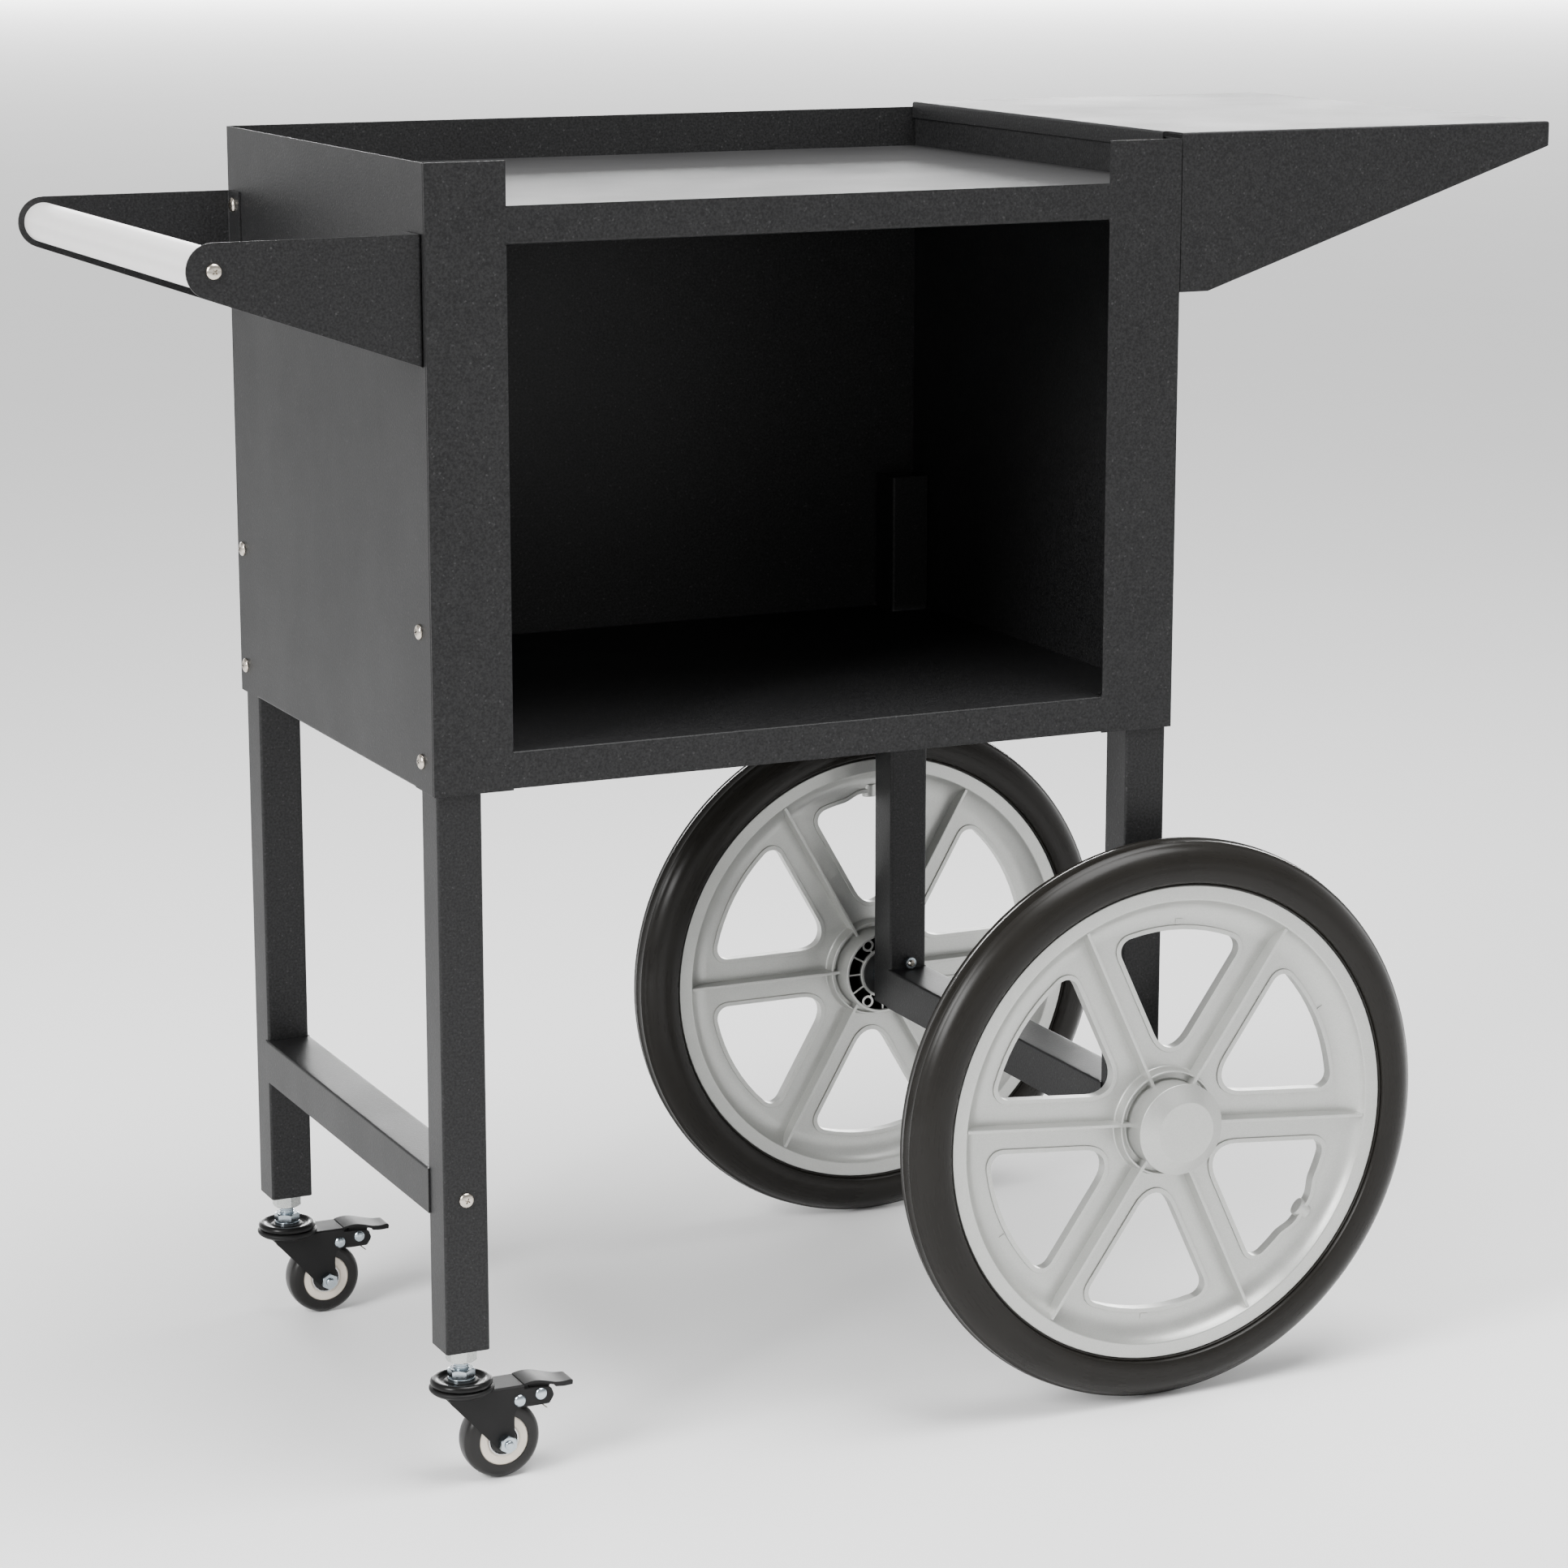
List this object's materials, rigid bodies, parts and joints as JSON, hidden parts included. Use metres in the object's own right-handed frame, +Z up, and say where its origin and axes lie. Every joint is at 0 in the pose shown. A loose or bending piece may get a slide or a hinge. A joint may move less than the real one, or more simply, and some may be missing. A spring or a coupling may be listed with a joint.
{
  "type": "popcorn cart",
  "caption": "Open-front sheet-metal cabinet cart with a raised tray, tapering side shelf, push handle, large spoked wheels and braked swivel casters.",
  "frame": {"origin": "on the floor under the middle of the cart's bounding box", "axes": "+X from the push handle towards the side shelf, +Y from the open front towards the back, +Z up"},
  "size_m": [0.9148, 0.4932, 0.8115],
  "materials": {
    "powder_coat": "fine-textured black powder coat, satin",
    "handle_satin": "satin anodised",
    "nickel_screws": "bright nickel plate",
    "zinc": "bright zinc plate",
    "bright_steel": "ground steel",
    "wheel_silver": "silver painted, fine flake, satin",
    "tyre_rubber": "smooth moulded, half gloss",
    "black_gloss": "black dipped paint, glossy",
    "caster_rubber": "moulded, half gloss",
    "cream_plastic": "cream moulded plastic",
    "black_nylon": "matt black nylon"
  },
  "bodies": {
    "cart": {"left_side_panel": "powder_coat", "right_side_panel": "powder_coat", "back_panel": "powder_coat", "front_frame": "powder_coat", "tray_plate": "powder_coat", "cabinet_floor": "powder_coat", "front_left_leg": "powder_coat", "back_left_leg": "powder_coat", "front_right_leg": "powder_coat", "back_right_leg": "powder_coat", "leg_foot_plates": "powder_coat", "left_crossbar": "powder_coat", "right_crossbar": "powder_coat", "side_shelf": "powder_coat", "front_handle_bracket": "powder_coat", "back_handle_bracket": "powder_coat", "handle_tube": "handle_satin", "handle_end_plugs": "black_nylon", "handle_screws": "nickel_screws", "bracket_screws": "nickel_screws", "panel_screws": "nickel_screws", "crossbar_screws": "nickel_screws", "shelf_screws": "nickel_screws", "frame_nuts": "zinc", "crossbar_nuts": "zinc", "axle": "bright_steel", "axle_collars": "zinc", "axle_washers": "zinc", "axle_lock_nuts": "zinc", "caster_lock_nuts": "zinc", "caster_stems": "zinc", "caster_upper_races": "black_gloss"},
    "front_wheel": {"front_wheel_rim": "wheel_silver", "front_wheel_tyre": "tyre_rubber", "front_hub_cap": "wheel_silver", "front_wheel_bushes": "black_nylon"},
    "front_caster": {"front_caster_fork": "black_gloss", "front_swivel_balls": "bright_steel", "front_caster_rivets": "zinc", "front_brake_spring": "bright_steel", "front_caster_bolt": "zinc", "front_caster_bolt_nut": "zinc"},
    "front_caster_wheel": {"front_caster_tread": "caster_rubber", "front_caster_hub": "cream_plastic", "front_caster_bearings": "bright_steel"},
    "front_brake": {"front_brake_pedal": "black_gloss"},
    "back_wheel": {"back_wheel_rim": "wheel_silver", "back_wheel_tyre": "tyre_rubber", "back_hub_cap": "wheel_silver", "back_wheel_bushes": "black_nylon"},
    "back_caster": {"back_caster_fork": "black_gloss", "back_swivel_balls": "bright_steel", "back_caster_rivets": "zinc", "back_brake_spring": "bright_steel", "back_caster_bolt": "zinc", "back_caster_bolt_nut": "zinc"},
    "back_caster_wheel": {"back_caster_tread": "caster_rubber", "back_caster_hub": "cream_plastic", "back_caster_bearings": "bright_steel"},
    "back_brake": {"back_brake_pedal": "black_gloss"}
  },
  "joints": [
    {"name": "front_wheel_spin", "type": "hinge", "parent": "cart", "child": "front_wheel", "pos_m": [0.1647, -0.2136, 0.1853], "axis": [0, 1, 0], "continuous": true},
    {"name": "front_caster_swivel", "type": "hinge", "parent": "cart", "child": "front_caster", "pos_m": [-0.2997, -0.1681, 0.0626], "axis": [0, 0, 1], "continuous": true},
    {"name": "front_caster_spin", "type": "hinge", "parent": "front_caster", "child": "front_caster_wheel", "pos_m": [-0.2757, -0.1681, 0.025], "axis": [0, 1, 0], "continuous": true},
    {"name": "front_brake_press", "type": "hinge", "parent": "front_caster", "child": "front_brake", "pos_m": [-0.2522, -0.1681, 0.053], "axis": [0, 1, 0], "range_deg": [0, 10]},
    {"name": "back_wheel_spin", "type": "hinge", "parent": "cart", "child": "back_wheel", "pos_m": [0.1647, 0.2136, 0.1853], "axis": [0, 1, 0], "continuous": true},
    {"name": "back_caster_swivel", "type": "hinge", "parent": "cart", "child": "back_caster", "pos_m": [-0.2997, 0.1681, 0.0626], "axis": [0, 0, 1], "continuous": true},
    {"name": "back_caster_spin", "type": "hinge", "parent": "back_caster", "child": "back_caster_wheel", "pos_m": [-0.2757, 0.1681, 0.025], "axis": [0, 1, 0], "continuous": true},
    {"name": "back_brake_press", "type": "hinge", "parent": "back_caster", "child": "back_brake", "pos_m": [-0.2522, 0.1681, 0.053], "axis": [0, 1, 0], "range_deg": [0, 10]}
  ]
}
